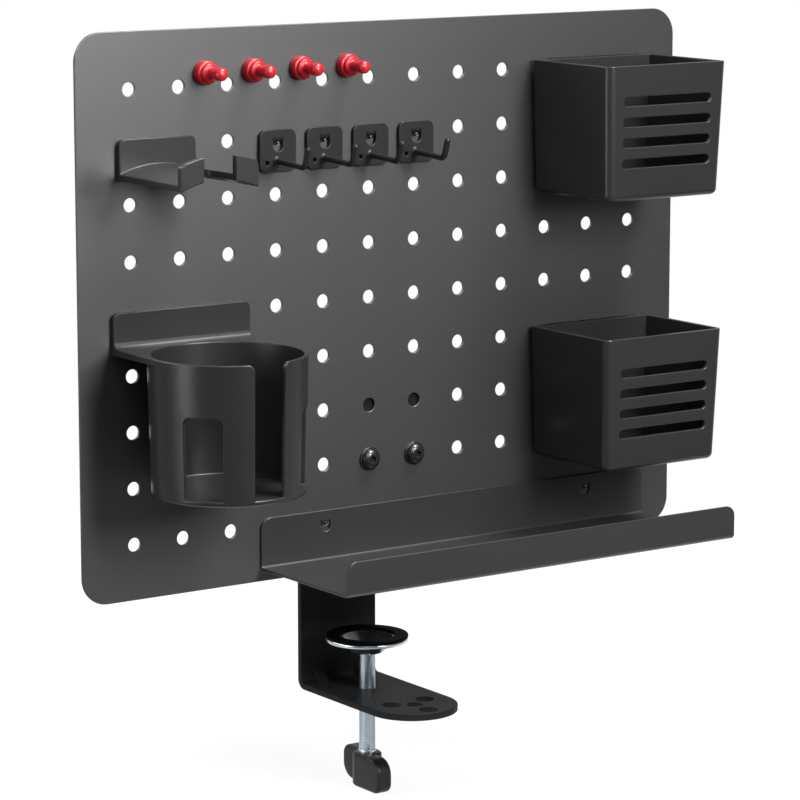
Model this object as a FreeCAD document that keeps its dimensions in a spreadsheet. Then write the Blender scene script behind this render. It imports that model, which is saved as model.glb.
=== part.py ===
"""A clamp-on desk pegboard with its bins, cup holder, tray, hooks, hanger and magnets.

Frame: millimetres, +Z up, +X to the right seen from the front, and the front faces -Y.
The origin is the centre of the jaw pad's underside, on the desk top, over the clamp screw.
"""
import FreeCAD, Part
import math
import os
import re

import Sketcher

V = FreeCAD.Vector
doc = FreeCAD.newDocument("pegboard_organiser")

# ---------------------------------------------------------------- driving dimensions
DIMENSIONS = [
    # the perforated panel
    ("hole_pitch", 25.4), ("hole_dia", 6.35), ("hole_columns", 12), ("hole_rows", 9),
    ("side_margin", 26.9), ("end_margin", 25.4), ("panel_thick", 1.5), ("panel_corner", 12.7),
    # the folded clamp strap
    ("strap_width", 43.4), ("strap_thick", 3.0), ("bend_radius", 2.0), ("upright_height", 90.0),
    ("upright_corner", 6.0), ("screw_setback", 19.9), ("jaw_depth", 46.45), ("clamp_opening", 60.5),
    ("arm_reach", 58.8), ("rib_span", 24.0), ("rib_width", 5.0), ("rib_size", 6.0),
    ("arm_hole_setback", 39.6), ("arm_hole_ring", 11.1), ("arm_hole_dia", 5.4),
    ("arm_sink_dia", 9.4), ("arm_centre_dia", 3.4),
    # the rubber under the jaw
    ("jaw_pad_thick", 1.5), ("jaw_pad_width", 38.0), ("jaw_pad_depth", 28.0), ("jaw_pad_corner", 4.0),
    # the clamp screw, its nut and its knob
    ("screw_dia", 7.9), ("thread_play", 0.05), ("nut_flats", 13.0), ("nut_height", 6.5),
    ("knob_drop", 28.7), ("knob_height", 16.5), ("knob_reach", 19.4), ("hub_dia", 14.0),
    ("wing_thick", 8.2), ("wing_sweep", 8.0), ("wing_heel", 4.6), ("wing_edge", 1.5),
    ("knob_screw_depth", 13.0),
    # the pressure cup
    ("desk_gap", 34.4), ("cup_dia", 39.5), ("ring_bore", 26.7), ("ring_thick", 1.2), ("cup_mouth", 25.6),
    ("cup_rim", 1.9), ("cup_height", 7.4), ("bowl_dia", 23.8), ("boss_dia", 16.0), ("cup_floor", 2.0),
    ("well_dia", 12.4), ("neck_dia", 5.9), ("peen_dia", 9.6), ("peen_height", 1.5), ("end_play", 0.1),
    # the screws that hold the panel
    ("fixing_dia", 5.0), ("fixing_play", 0.25), ("fixing_row", 8),
    ("head_dia", 9.5), ("head_height", 2.75), ("socket_flats", 3.0), ("socket_depth", 1.8),
    ("washer_dia", 11.0), ("washer_thick", 1.0), ("fixing_nut_flats", 8.0), ("fixing_nut_height", 4.0),
    ("fixing_tail", 1.0), ("head_round", 2.5),
    # how every accessory hangs: a tab through a hole with a tongue behind the panel
    ("face_gap", 0.1), ("tab_width", 5.0), ("tab_drop", 1.8), ("tongue_gap", 0.3),
    ("tongue_drop", 1.8), ("peg_thick", 2.0), ("lance_bend", 0.3), ("tongue_round", 0.8),
    # the wire hooks
    ("hook_row", 2), ("hook_plate_width", 19.4), ("hook_plate_height", 19.2), ("hook_plate_top", 4.0),
    ("hook_plate_thick", 2.0), ("hook_plate_corner", 3.4), ("lance_width", 5.3), ("lance_drop", 6.0),
    ("vent_dia", 2.2), ("vent_side", 5.9), ("vent_drop", 11.0), ("rod_dia", 2.8), ("rod_side", 0.7),
    ("rod_drop", 10.1), ("rod_reach", 25.1), ("rod_fall", 1.4), ("rod_rise", 9.5), ("rod_lean", 2.8),
    ("rod_bend", 3.6), ("rod_tip_round", 1.26),
    # the magnets
    ("magnet_pitch", 25.3), ("magnet_middle", -63.25), ("magnet_height", 107.4), ("magnet_base_dia", 10.7),
    ("magnet_base_length", 4.2), ("magnet_groove", 0.5), ("magnet_collar_dia", 8.6),
    ("magnet_collar_length", 1.6), ("magnet_waist_dia", 4.6), ("magnet_ball_dia", 6.0),
    ("magnet_length", 17.0), ("magnet_core_dia", 8.4), ("magnet_core_length", 3.0),
    ("magnet_edge", 0.3), ("magnet_shoulder", 0.9), ("magnet_neck_round", 0.8), ("magnet_flare", 1.2),
    ("magnet_ball_heel", 1.5), ("magnet_ball_round", 2.25),
    # the headphone hanger
    ("hanger_row", 2), ("hanger_width", 39.1), ("hanger_top", 4.0), ("hanger_thick", 3.2),
    ("hanger_reach", 54.85), ("saddle_thick", 3.0), ("saddle_drop", 11.4), ("saddle_arch", 4.0),
    ("lip_thick", 3.5), ("lip_height", 8.2), ("lip_arch", 3.6), ("lip_corner", 3.0),
    ("notch_width", 16.0), ("notch_length", 25.6),
    # the cup holder
    ("cup_row", 5), ("cup_radius", 35.4), ("cup_draft", 1.4), ("cup_wall", 1.9), ("cup_base", 2.5),
    ("cup_clearance", 4.85), ("cup_depth", 62.1), ("cup_shelf_drop", 12.0), ("cup_shelf_thick", 2.8),
    ("flange_thick", 3.0), ("flange_top", 4.0), ("flange_corner", 3.0), ("cup_offset", -0.8),
    ("gap_angle", 25.0), ("window_angle", 30.0), ("window_bearing", 51.0), ("window_drop", 23.4),
    ("window_corner", 3.0), ("cup_foot_round", 1.5), ("flange_root", 3.0),
    # the pen boxes
    ("upper_box_row", 1), ("lower_box_row", 6), ("box_width", 70.8), ("box_height", 63.0),
    ("box_front", 60.25), ("box_standoff", 2.5), ("box_wall", 2.0), ("box_floor", 2.5),
    ("box_side_draft", 2.3), ("box_front_draft", 2.0), ("box_corner", 4.0), ("box_bottom_round", 3.0),
    ("box_top", 4.0), ("box_offset", 0.7), ("boss_round_dia", 8.4),
    ("slot_length", 52.0), ("slot_height", 4.2), ("slot_first_drop", 16.6), ("slot_pitch", 9.63),
    ("slot_count", 4),
    # the tray
    ("tray_row", 9), ("tray_width", 222.8), ("tray_thick", 1.2), ("tray_depth", 71.8),
    ("tray_back_top", 4.1), ("tray_floor_drop", 18.8), ("tray_lip", 16.2), ("tray_bend", 1.0),
    ("tray_corner", 5.0), ("tray_lance_width", 5.4),
]

dims = doc.addObject("Spreadsheet::Sheet", "dims")
for cell_row, (alias, size) in enumerate(DIMENSIONS, start=1):
    dims.set(f"A{cell_row}", alias)
    dims.set(f"B{cell_row}", str(size))
    dims.setAlias(f"B{cell_row}", alias)
doc.recompute()

ALIASES = {alias for alias, size in DIMENSIONS}


def sheet(text):
    """An expression written with bare aliases, with the sheet's name put before each of them."""
    def named(word):
        return "dims." + word.group() if word.group() in ALIASES else word.group()
    return re.sub(r"[a-z_]+", named, text)


def number(text):
    """What an expression of the sheet comes to now, in millimetres or degrees."""
    value = dims.evalExpression(sheet(text))
    return float(getattr(value, "Value", value))


# The share of a slot's width that rounds its end nearly to a half circle, with a short flat left.
FULL_ROUND = 0.49

# Lines and levels that several pieces share.
PANEL_WIDTH = "(hole_pitch * (hole_columns - 1) + 2 * side_margin)"
PANEL_HEIGHT = "(hole_pitch * (hole_rows - 1) + 2 * end_margin)"
GRID_HEIGHT = f"({PANEL_HEIGHT} / 2 + strap_thick + jaw_pad_thick)"
FRONT_FACE = "(-screw_setback - panel_thick / 2)"
BACK_FACE = "(-screw_setback + panel_thick / 2)"


def column(index):
    """X of a hole column, counted from the left."""
    return f"(hole_pitch * ({index} - (hole_columns + 1) / 2))"


def between(columns):
    """X half way between two hole columns."""
    return f"(({column(columns[0])} + {column(columns[1])}) / 2)"


def half_span(columns):
    """Half the distance between two hole columns."""
    return f"(hole_pitch * ({columns[1]} - {columns[0]}) / 2)"


def level(row):
    """Z of a hole row, counted from the top."""
    return f"({GRID_HEIGHT} + hole_pitch * ((hole_rows + 1) / 2 - {row}))"


# ---------------------------------------------------------------- how a piece is drawn and made
pieces = []


def new_body(label, x="0", y="0", z="0"):
    """A body with its own origin, placed by the sheet."""
    body = doc.addObject("PartDesign::Body", label)
    for axis, text in zip("xyz", (x, y, z)):
        body.setExpression(f"Placement.Base.{axis}", sheet(text))
    pieces.append(body)
    return body


def sketch(body, name, plane, offset="0", across="0"):
    """A sketch on an origin plane: offset moves it along the plane's normal, across along its x."""
    flat = body.newObject("Sketcher::SketchObject", name)
    support = next(item for item in body.Origin.OriginFeatures if item.Role == plane + "_Plane")
    flat.AttachmentSupport = [(support, "")]
    flat.MapMode = "FlatFace"
    flat.setExpression("AttachmentOffset.Base.z", sheet(offset))
    flat.setExpression("AttachmentOffset.Base.x", sheet(across))
    return flat


def bind(flat, kind, *where, to):
    """Add a dimension to a sketch and tie it to the sheet."""
    index = flat.addConstraint(Sketcher.Constraint(kind, *where, number(to)))
    flat.setExpression(f"Constraints[{index}]", sheet(to))


def fix_point(flat, curve, end, x, y):
    bind(flat, "DistanceX", curve, end, to=x)
    bind(flat, "DistanceY", curve, end, to=y)


def circle(flat, x, y, radius):
    centre = V(number(x), number(y), 0)
    ring = flat.addGeometry(Part.Circle(centre, V(0, 0, 1), number(radius)), False)
    fix_point(flat, ring, 3, x, y)
    bind(flat, "Radius", ring, to=radius)


def corner_arc(spot, last, following, radius):
    """The tangent arc in a corner: its curve, and which end meets the side before the corner."""
    to_last = (last - spot).normalize()
    to_next = (following - spot).normalize()
    half = to_last.getAngle(to_next) / 2
    first = spot + to_last * (radius / math.tan(half))
    second = spot + to_next * (radius / math.tan(half))
    centre = spot + (to_last + to_next).normalize() * (radius / math.sin(half))
    turns_left = to_last.cross(to_next).z < 0
    start, end = (first, second) if turns_left else (second, first)
    angles = [math.atan2(point.y - centre.y, point.x - centre.x) for point in (start, end)]
    if angles[1] < angles[0]:
        angles[1] += 2 * math.pi
    curve = Part.ArcOfCircle(Part.Circle(centre, V(0, 0, 1), radius), *angles)
    return curve, first, second, 1 if turns_left else 2


def outline(flat, corners, closed=True):
    """Straight sides through corners (x, y) or (x, y, radius), rounded where a radius is given."""
    spots = [V(number(corner[0]), number(corner[1]), 0) for corner in corners]
    count = len(corners)
    arcs = {}
    for index, corner in enumerate(corners):
        if len(corner) == 3:
            last, following = spots[index - 1], spots[(index + 1) % count]
            arcs[index] = corner_arc(spots[index], last, following, number(corner[2]))
    sides = []
    for index in range(count if closed else count - 1):
        after = (index + 1) % count
        start = arcs[index][2] if index in arcs else spots[index]
        end = arcs[after][1] if after in arcs else spots[after]
        sides.append(flat.addGeometry(Part.LineSegment(start, end), False))
    for index, corner in enumerate(corners):
        if index in arcs:
            curve, first, second, near_end = arcs[index]
            arc = flat.addGeometry(curve, False)
            spot = flat.addGeometry(Part.Point(spots[index]), True)
            before, after = sides[index - 1], sides[index]
            flat.addConstraint(Sketcher.Constraint("Tangent", before, 2, arc, near_end))
            flat.addConstraint(Sketcher.Constraint("Tangent", after, 1, arc, 3 - near_end))
            flat.addConstraint(Sketcher.Constraint("PointOnObject", spot, 1, before))
            flat.addConstraint(Sketcher.Constraint("PointOnObject", spot, 1, after))
            fix_point(flat, spot, 1, corner[0], corner[1])
            bind(flat, "Radius", arc, to=corner[2])
        elif closed or 0 < index < count - 1:
            flat.addConstraint(Sketcher.Constraint("Coincident", sides[index - 1], 2, sides[index], 1))
            fix_point(flat, sides[index], 1, corner[0], corner[1])
        else:
            side, end = (sides[0], 1) if index == 0 else (sides[-1], 2)
            fix_point(flat, side, end, corner[0], corner[1])


def rectangle(flat, left, low, right, high, radius=None):
    corners = [(left, low), (right, low), (right, high), (left, high)]
    outline(flat, [corner + (radius,) for corner in corners] if radius else corners)


def hexagon(flat, flats, x="0", y="0"):
    corners = []
    for turn in range(0, 360, 60):
        corners.append((f"{x} + {flats} / sqrt(3) * cos({turn})", f"{y} + {flats} / sqrt(3) * sin({turn})"))
    outline(flat, corners)


def arched_band(flat, half_width, low, low_rise, high, high_rise):
    """A band between two upright ends whose lower and upper edges bow upwards."""
    ends = []
    for edge, rise in ((low, low_rise), (high, high_rise)):
        radius = f"(({half_width})^2 + ({rise})^2) / (2 * {rise})"
        reach, height, bow = number(half_width), number(edge), number(radius)
        centre = V(0, height + number(rise) - bow, 0)
        angle = math.asin(reach / bow)
        ring = Part.Circle(centre, V(0, 0, 1), bow)
        arc = flat.addGeometry(Part.ArcOfCircle(ring, math.pi / 2 - angle, math.pi / 2 + angle), False)
        fix_point(flat, arc, 1, half_width, edge)
        fix_point(flat, arc, 2, f"-{half_width}", edge)
        bind(flat, "Radius", arc, to=radius)
        ends.append((arc, V(reach, height, 0), V(-reach, height, 0)))
    (low_arc, low_right, low_left), (high_arc, high_right, high_left) = ends
    for end, bottom, top in ((1, low_right, high_right), (2, low_left, high_left)):
        side = flat.addGeometry(Part.LineSegment(bottom, top), False)
        flat.addConstraint(Sketcher.Constraint("Coincident", side, 1, low_arc, end))
        flat.addConstraint(Sketcher.Constraint("Coincident", side, 2, high_arc, end))


def pad(body, flat, name, length, centred=False):
    made = body.newObject("PartDesign::Pad", name)
    made.Profile = flat
    made.setExpression("Length", sheet(length))
    made.Midplane = centred
    return made


def pocket(body, flat, name, length=None, upwards=False):
    """Cut against the sketch's normal, or along it, or right through both ways with no length."""
    made = body.newObject("PartDesign::Pocket", name)
    made.Profile = flat
    if length is None:
        made.Type = "ThroughAll"
        made.Midplane = True
    else:
        made.setExpression("Length", sheet(length))
        made.Reversed = upwards
    return made


def revolve(body, flat, name):
    made = body.newObject("PartDesign::Revolution", name)
    made.Profile = flat
    made.ReferenceAxis = (flat, ["V_Axis"])
    made.Angle = 360
    return made


def blend_edges(body, name, size, wanted, kind="Fillet"):
    """Round or chamfer the edges of the body's tip that the test picks out."""
    doc.recompute()
    base = body.Tip
    names = [f"Edge{place}" for place, edge in enumerate(base.Shape.Edges, start=1) if wanted(edge)]
    if not names:
        raise ValueError(f"{name} found no edge")
    made = body.newObject(f"PartDesign::{kind}", name)
    made.Base = (base, names)
    made.setExpression("Radius" if kind == "Fillet" else "Size", sheet(size))
    return made


def near(first, second, slack=0.02):
    return abs(first - second) < slack


def runs_along(edge, axis):
    """Whether a straight edge runs along x, y or z."""
    if edge.Curve.TypeId != "Part::GeomLine":
        return False
    return abs(getattr(edge.tangentAt(edge.FirstParameter), axis)) > 0.999


def middle(edge):
    return edge.CenterOfMass


# ---------------------------------------------------------------- the perforated panel
def make_panel():
    body = new_body("pegboard_panel", y="-screw_setback", z=GRID_HEIGHT)
    flat = sketch(body, "panel_outline", "XZ")
    half_width, half_height = f"{PANEL_WIDTH} / 2", f"{PANEL_HEIGHT} / 2"
    rectangle(flat, f"-{half_width}", f"-{half_height}", half_width, half_height, "panel_corner")
    pad(body, flat, "panel_sheet", "panel_thick", centred=True)
    flat = sketch(body, "first_hole_outline", "XZ")
    circle(flat, "-hole_pitch * (hole_columns - 1) / 2", "-hole_pitch * (hole_rows - 1) / 2", "hole_dia / 2")
    first_hole = pocket(body, flat, "first_hole")
    doc.recompute()
    grid = body.newObject("PartDesign::MultiTransform", "hole_grid")
    grid.Originals = [first_hole]
    runs = []
    for name, axis, count in (("along_rows", "H_Axis", "hole_columns"), ("up_columns", "V_Axis", "hole_rows")):
        run = body.newObject("PartDesign::LinearPattern", name)
        run.Direction = (flat, [axis])
        run.setExpression("Length", sheet(f"hole_pitch * ({count} - 1)"))
        run.setExpression("Occurrences", sheet(count))
        runs.append(run)
    grid.Transformations = runs
    body.Tip = grid


# ---------------------------------------------------------------- the folded clamp strap
JAW_TOP = "(jaw_pad_thick + strap_thick)"
LEG_BACK = f"({BACK_FACE} + jaw_depth)"
LEG_FRONT = f"({LEG_BACK} - strap_thick)"
ARM_TOP = "(-clamp_opening)"
ARM_UNDER = "(-clamp_opening - strap_thick)"
ARM_END_CENTRE = "(-arm_reach + strap_width / 2)"


def make_bracket():
    body = new_body("clamp_bracket")
    inner, outer = "bend_radius", "bend_radius + strap_thick"
    top, upright_back = "jaw_pad_thick + upright_height", f"{BACK_FACE} + strap_thick"
    flat = sketch(body, "strap_side_view", "YZ")
    outline(flat, [
        (BACK_FACE, top), (BACK_FACE, "jaw_pad_thick", outer), (LEG_FRONT, "jaw_pad_thick", inner),
        (LEG_FRONT, ARM_TOP, inner), (ARM_END_CENTRE, ARM_TOP), (ARM_END_CENTRE, ARM_UNDER),
        (LEG_BACK, ARM_UNDER, outer), (LEG_BACK, JAW_TOP, outer), (upright_back, JAW_TOP, inner),
        (upright_back, top),
    ])
    pad(body, flat, "folded_strap", "strap_width", centred=True)
    flat = sketch(body, "arm_end_outline", "XY", ARM_UNDER)
    circle(flat, "0", ARM_END_CENTRE, "strap_width / 2")
    pad(body, flat, "arm_end", "strap_thick")
    for side, sign in (("left", "-"), ("right", "")):
        flat = sketch(body, f"{side}_rib_outline", "YZ", f"{sign}rib_span / 2")
        buried = "strap_thick / 2"
        outline(flat, [
            (f"{LEG_FRONT} + {buried}", f"{ARM_TOP} - {buried}"),
            (f"{LEG_FRONT} - rib_size", f"{ARM_TOP} - {buried}"),
            (f"{LEG_FRONT} - rib_size", ARM_TOP),
            (LEG_FRONT, f"{ARM_TOP} + rib_size"),
            (f"{LEG_FRONT} + {buried}", f"{ARM_TOP} + rib_size"),
        ])
        pad(body, flat, f"{side}_rib", "rib_width", centred=True)
    top_height = number(top)
    blend_edges(body, "upright_corners", "upright_corner",
                lambda edge: runs_along(edge, "y") and near(middle(edge).z, top_height))
    flat = sketch(body, "fixing_holes_outline", "XZ")
    for sign in ("-", ""):
        circle(flat, f"{sign}hole_pitch / 2", level("fixing_row"), "fixing_dia / 2 + fixing_play")
    pocket(body, flat, "fixing_holes")
    flat = sketch(body, "arm_holes_outline", "XY", ARM_TOP)
    circle(flat, "0", "0", "screw_dia / 2 + fixing_play")
    circle(flat, "0", "-arm_hole_setback", "arm_centre_dia / 2")
    for turn in (30, 150, 270):
        across = f"arm_hole_ring * cos({turn})"
        along = f"-arm_hole_setback + arm_hole_ring * sin({turn})"
        circle(flat, across, along, "arm_hole_dia / 2")
    pocket(body, flat, "arm_holes", "strap_thick")
    arm_height, hole_radius = number(ARM_TOP), number("arm_hole_dia / 2")

    def sunk(edge):
        round_edge = edge.Curve.TypeId == "Part::GeomCircle"
        return round_edge and near(edge.Curve.Radius, hole_radius) and near(middle(edge).z, arm_height)
    blend_edges(body, "arm_countersinks", "(arm_sink_dia - arm_hole_dia) / 2", sunk, kind="Chamfer")


def make_jaw_pad():
    body = new_body("jaw_pad")
    flat = sketch(body, "jaw_pad_outline", "XY")
    half_width, half_depth = "jaw_pad_width / 2", "jaw_pad_depth / 2"
    rectangle(flat, f"-{half_width}", f"-{half_depth}", half_width, half_depth, "jaw_pad_corner")
    pad(body, flat, "jaw_pad_sheet", "jaw_pad_thick")


# ---------------------------------------------------------------- the clamp screw and what it carries
RING_UNDER = "(-desk_gap - ring_thick)"
CUP_UNDER = f"({RING_UNDER} - cup_height)"
CUP_FLOOR_TOP = f"({CUP_UNDER} + cup_floor)"
KNOB_TOP = f"({ARM_UNDER} - knob_drop)"


def make_clamp_nut():
    body = new_body("clamp_nut", z=f"{ARM_UNDER} - nut_height")
    flat = sketch(body, "clamp_nut_outline", "XY")
    hexagon(flat, "nut_flats")
    circle(flat, "0", "0", "screw_dia / 2 + thread_play")
    pad(body, flat, "clamp_nut_body", "nut_height")


def make_clamp_screw():
    body = new_body("clamp_screw")
    flat = sketch(body, "clamp_screw_profile", "XZ")
    shoulder, seat = f"{CUP_UNDER} - end_play", f"{CUP_FLOOR_TOP} + end_play"
    low = f"{KNOB_TOP} - knob_screw_depth"
    outline(flat, [
        ("0", low), ("screw_dia / 2", low), ("screw_dia / 2", shoulder), ("neck_dia / 2", shoulder),
        ("neck_dia / 2", seat), ("peen_dia / 2", seat),
        ("peen_dia / 2", f"{seat} + peen_height", "peen_height / 2"),
        ("0", f"{seat} + peen_height"),
    ])
    revolve(body, flat, "clamp_screw_body")


def make_pressure_cup():
    body = new_body("pressure_cup", z=CUP_UNDER)
    flat = sketch(body, "pressure_cup_profile", "XZ")
    bore = "neck_dia / 2 + thread_play"
    outline(flat, [
        (bore, "0"), ("boss_dia / 2", "0", "cup_floor / 2"), ("bowl_dia / 2", "cup_height - cup_rim"),
        ("cup_dia / 2", "cup_height - cup_rim", "cup_rim / 3"), ("cup_dia / 2", "cup_height"),
        ("cup_mouth / 2", "cup_height", "cup_rim / 2"), ("well_dia / 2", "cup_floor", "cup_floor / 2"),
        (bore, "cup_floor"),
    ])
    revolve(body, flat, "pressure_cup_body")
    body = new_body("pressure_pad_ring", z=RING_UNDER)
    flat = sketch(body, "pressure_ring_outline", "XY")
    circle(flat, "0", "0", "cup_dia / 2")
    circle(flat, "0", "0", "ring_bore / 2")
    pad(body, flat, "pressure_ring_body", "ring_thick")


def make_knob():
    body = new_body("clamp_knob", z=f"{KNOB_TOP} - knob_height")
    flat = sketch(body, "hub_outline", "XY")
    circle(flat, "0", "0", "hub_dia / 2")
    pad(body, flat, "hub", "knob_height")
    inside = "hub_dia / 2 - wing_thick"
    flat = sketch(body, "front_wing_outline", "XY")
    rectangle(flat, "-hub_dia / 2", "-knob_reach", f"-({inside})", "0")
    pad(body, flat, "front_wing", "knob_height")
    flat = sketch(body, "back_wing_outline", "XY")
    rectangle(flat, inside, "0", "hub_dia / 2", "knob_reach")
    pad(body, flat, "back_wing", "knob_height")
    tip, half_height = number("knob_reach"), number("knob_height / 2")

    def wing_corner(lead):
        """The two opposite corners of the S: front top and back bottom, or the other two."""
        def wanted(edge):
            spot = middle(edge)
            at_end = runs_along(edge, "x") and near(abs(spot.y), tip)
            return at_end and lead * spot.y * (spot.z - half_height) < 0
        return wanted
    blend_edges(body, "swept_corners", "wing_sweep", wing_corner(1))
    blend_edges(body, "heel_corners", "wing_heel", wing_corner(-1))
    blend_edges(body, "wing_tips", "wing_edge",
                lambda edge: runs_along(edge, "z") and near(abs(middle(edge).y), tip))
    flat = sketch(body, "screw_bore_outline", "XY", "knob_height")
    circle(flat, "0", "0", "screw_dia / 2 + thread_play")
    pocket(body, flat, "screw_bore", "knob_screw_depth")


# ---------------------------------------------------------------- the screws that hold the panel
def make_fixings():
    for side, sign in (("left", "-"), ("right", "")):
        across, height = f"{sign}hole_pitch / 2", level("fixing_row")
        body = new_body(f"panel_screw_{side}", across, f"{FRONT_FACE} - washer_thick", height)
        flat = sketch(body, "screw_profile", "XY")
        tip = "washer_thick + panel_thick + strap_thick + fixing_nut_height + fixing_tail"
        outline(flat, [
            ("0", "-head_height"), ("head_dia / 2", "-head_height", "head_round"), ("head_dia / 2", "0"),
            ("fixing_dia / 2", "0"), ("fixing_dia / 2", tip), ("0", tip),
        ])
        revolve(body, flat, "screw_body")
        flat = sketch(body, "socket_outline", "XZ", "head_height")
        hexagon(flat, "socket_flats")
        pocket(body, flat, "socket", "socket_depth")

        body = new_body(f"panel_washer_{side}", across, FRONT_FACE, height)
        flat = sketch(body, "washer_outline", "XZ")
        circle(flat, "0", "0", "washer_dia / 2")
        circle(flat, "0", "0", "fixing_dia / 2 + fixing_play")
        pad(body, flat, "washer_body", "washer_thick")

        body = new_body(f"panel_nut_{side}", across, f"{BACK_FACE} + strap_thick + fixing_nut_height", height)
        flat = sketch(body, "nut_outline", "XZ")
        hexagon(flat, "fixing_nut_flats")
        circle(flat, "0", "0", "fixing_dia / 2 + thread_play")
        pad(body, flat, "nut_body", "fixing_nut_height")


# ---------------------------------------------------------------- the tabs that every accessory hangs by
def tongue(thick):
    """The part of a tab behind the panel, from its underside round its tip to its top."""
    front = "panel_thick + tongue_gap"
    back = f"{front} + {thick}"
    low = "-tab_drop - tongue_drop"
    bend = (back, f"-tab_drop + {thick}", f"tongue_round * {thick}")
    return [(front, "-tab_drop"), (front, low), (back, low), bend]


def moulded_tab(body, name, across, root):
    """A solid peg that grows from a moulded back at depth root."""
    flat = sketch(body, f"{name}_outline", "YZ", across)
    top = "-tab_drop + peg_thick"
    outline(flat, [(f"-({root})", "-tab_drop")] + tongue("peg_thick") + [(f"-({root})", top)])
    pad(body, flat, name, "tab_width", centred=True)


def lanced_tab(body, name, across, thick, width):
    """A tab cut out of the sheet and folded back through the hole, and the window that it leaves."""
    lance_top = f"-tab_drop + {thick} + 2 * lance_bend"
    flat = sketch(body, f"{name}_window_outline", "XZ", f"face_gap + {thick}")
    left, right, low = f"{across} - {width} / 2", f"{across} + {width} / 2", "-lance_drop"
    end_round = f"{FULL_ROUND} * {width}"
    outline(flat, [(left, low, end_round), (right, low, end_round), (right, lance_top), (left, lance_top)])
    pocket(body, flat, f"{name}_window", thick)
    flat = sketch(body, f"{name}_outline", "YZ", across)
    front, back = f"-face_gap - {thick}", "-face_gap"
    outline(flat, [(front, lance_top), (front, "-tab_drop", f"{thick} + lance_bend")] + tongue(thick) + [
        (back, f"-tab_drop + {thick}", "lance_bend"), (back, lance_top),
    ])
    pad(body, flat, name, "tab_width", centred=True)


# ---------------------------------------------------------------- the wire hooks
HOOK_COLUMNS = (4, 5, 6, 7)


def make_hook(index, place):
    body = new_body(f"hook_plate_{index}", column(place), FRONT_FACE, level("hook_row"))
    flat = sketch(body, "hook_plate_outline", "XZ", "face_gap")
    half_width, low = "hook_plate_width / 2", "hook_plate_top - hook_plate_height"
    rectangle(flat, f"-{half_width}", low, half_width, "hook_plate_top", "hook_plate_corner")
    pad(body, flat, "hook_plate_sheet", "hook_plate_thick")
    lanced_tab(body, "hook_tab", "0", "hook_plate_thick", "lance_width")
    flat = sketch(body, "vent_outline", "XZ")
    circle(flat, "-vent_side", "-vent_drop", "vent_dia / 2")
    pocket(body, flat, "vent")

    body = new_body(f"hook_rod_{index}", column(place), FRONT_FACE, level("hook_row"))
    start = "-face_gap - hook_plate_thick"
    profile = sketch(body, "rod_section", "XZ", f"-({start})", "-rod_side")
    circle(profile, "0", "-rod_drop", "rod_dia / 2")
    spine = sketch(body, "rod_path", "YZ", "-rod_side")
    fallen = "-rod_drop - rod_fall"
    outline(spine, [
        (start, "-rod_drop"), ("-rod_reach", fallen, "rod_bend"),
        ("-rod_reach - rod_lean", f"{fallen} + rod_rise"),
    ], closed=False)
    doc.recompute()
    rod = body.newObject("PartDesign::AdditivePipe", "rod")
    rod.Profile = profile
    rod.Spine = (spine, [f"Edge{place}" for place in range(1, len(spine.Shape.Edges) + 1)])
    tip_height = number(f"{fallen} + rod_rise")
    blend_edges(body, "rod_tip", "rod_tip_round", lambda edge: near(middle(edge).z, tip_height, 0.5))


# ---------------------------------------------------------------- the magnets
MAGNET_COUNT = 4


def make_magnet(index):
    across = f"magnet_middle + magnet_pitch * ({index} - ({MAGNET_COUNT} + 1) / 2)"
    height = f"{GRID_HEIGHT} + magnet_height"
    body = new_body(f"magnet_knob_{index}", across, f"{FRONT_FACE} - face_gap", height)
    flat = sketch(body, "magnet_profile", "XY")
    core, base = "magnet_core_dia / 2 + thread_play", "magnet_base_dia / 2"
    collar_start = "-magnet_base_length - magnet_groove"
    collar_end = f"{collar_start} - magnet_collar_length"
    ball_start = "-magnet_length + magnet_ball_dia"
    ball, waist = "magnet_ball_dia / 2", "magnet_waist_dia / 2"
    groove = "magnet_collar_dia / 2 - magnet_groove"
    outline(flat, [
        ("0", "-magnet_core_length"), (core, "-magnet_core_length"), (core, "0"), (base, "0", "magnet_edge"),
        (base, "-magnet_base_length", "magnet_shoulder"), (groove, "-magnet_base_length"),
        (groove, collar_start),
        ("magnet_collar_dia / 2", collar_start), ("magnet_collar_dia / 2", collar_end, "magnet_shoulder"),
        (waist, collar_end, "magnet_neck_round"), (waist, ball_start),
        (ball, f"{ball_start} - magnet_flare", "magnet_ball_heel"),
        (ball, "-magnet_length", "magnet_ball_round"), ("0", "-magnet_length"),
    ])
    revolve(body, flat, "magnet_shell")
    body = new_body(f"magnet_core_{index}", across, f"{FRONT_FACE} - face_gap", height)
    flat = sketch(body, "core_outline", "XZ")
    circle(flat, "0", "0", "magnet_core_dia / 2")
    pad(body, flat, "core_disc", "magnet_core_length")


# ---------------------------------------------------------------- the headphone hanger
HANGER_COLUMNS = (1, 2)


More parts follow.
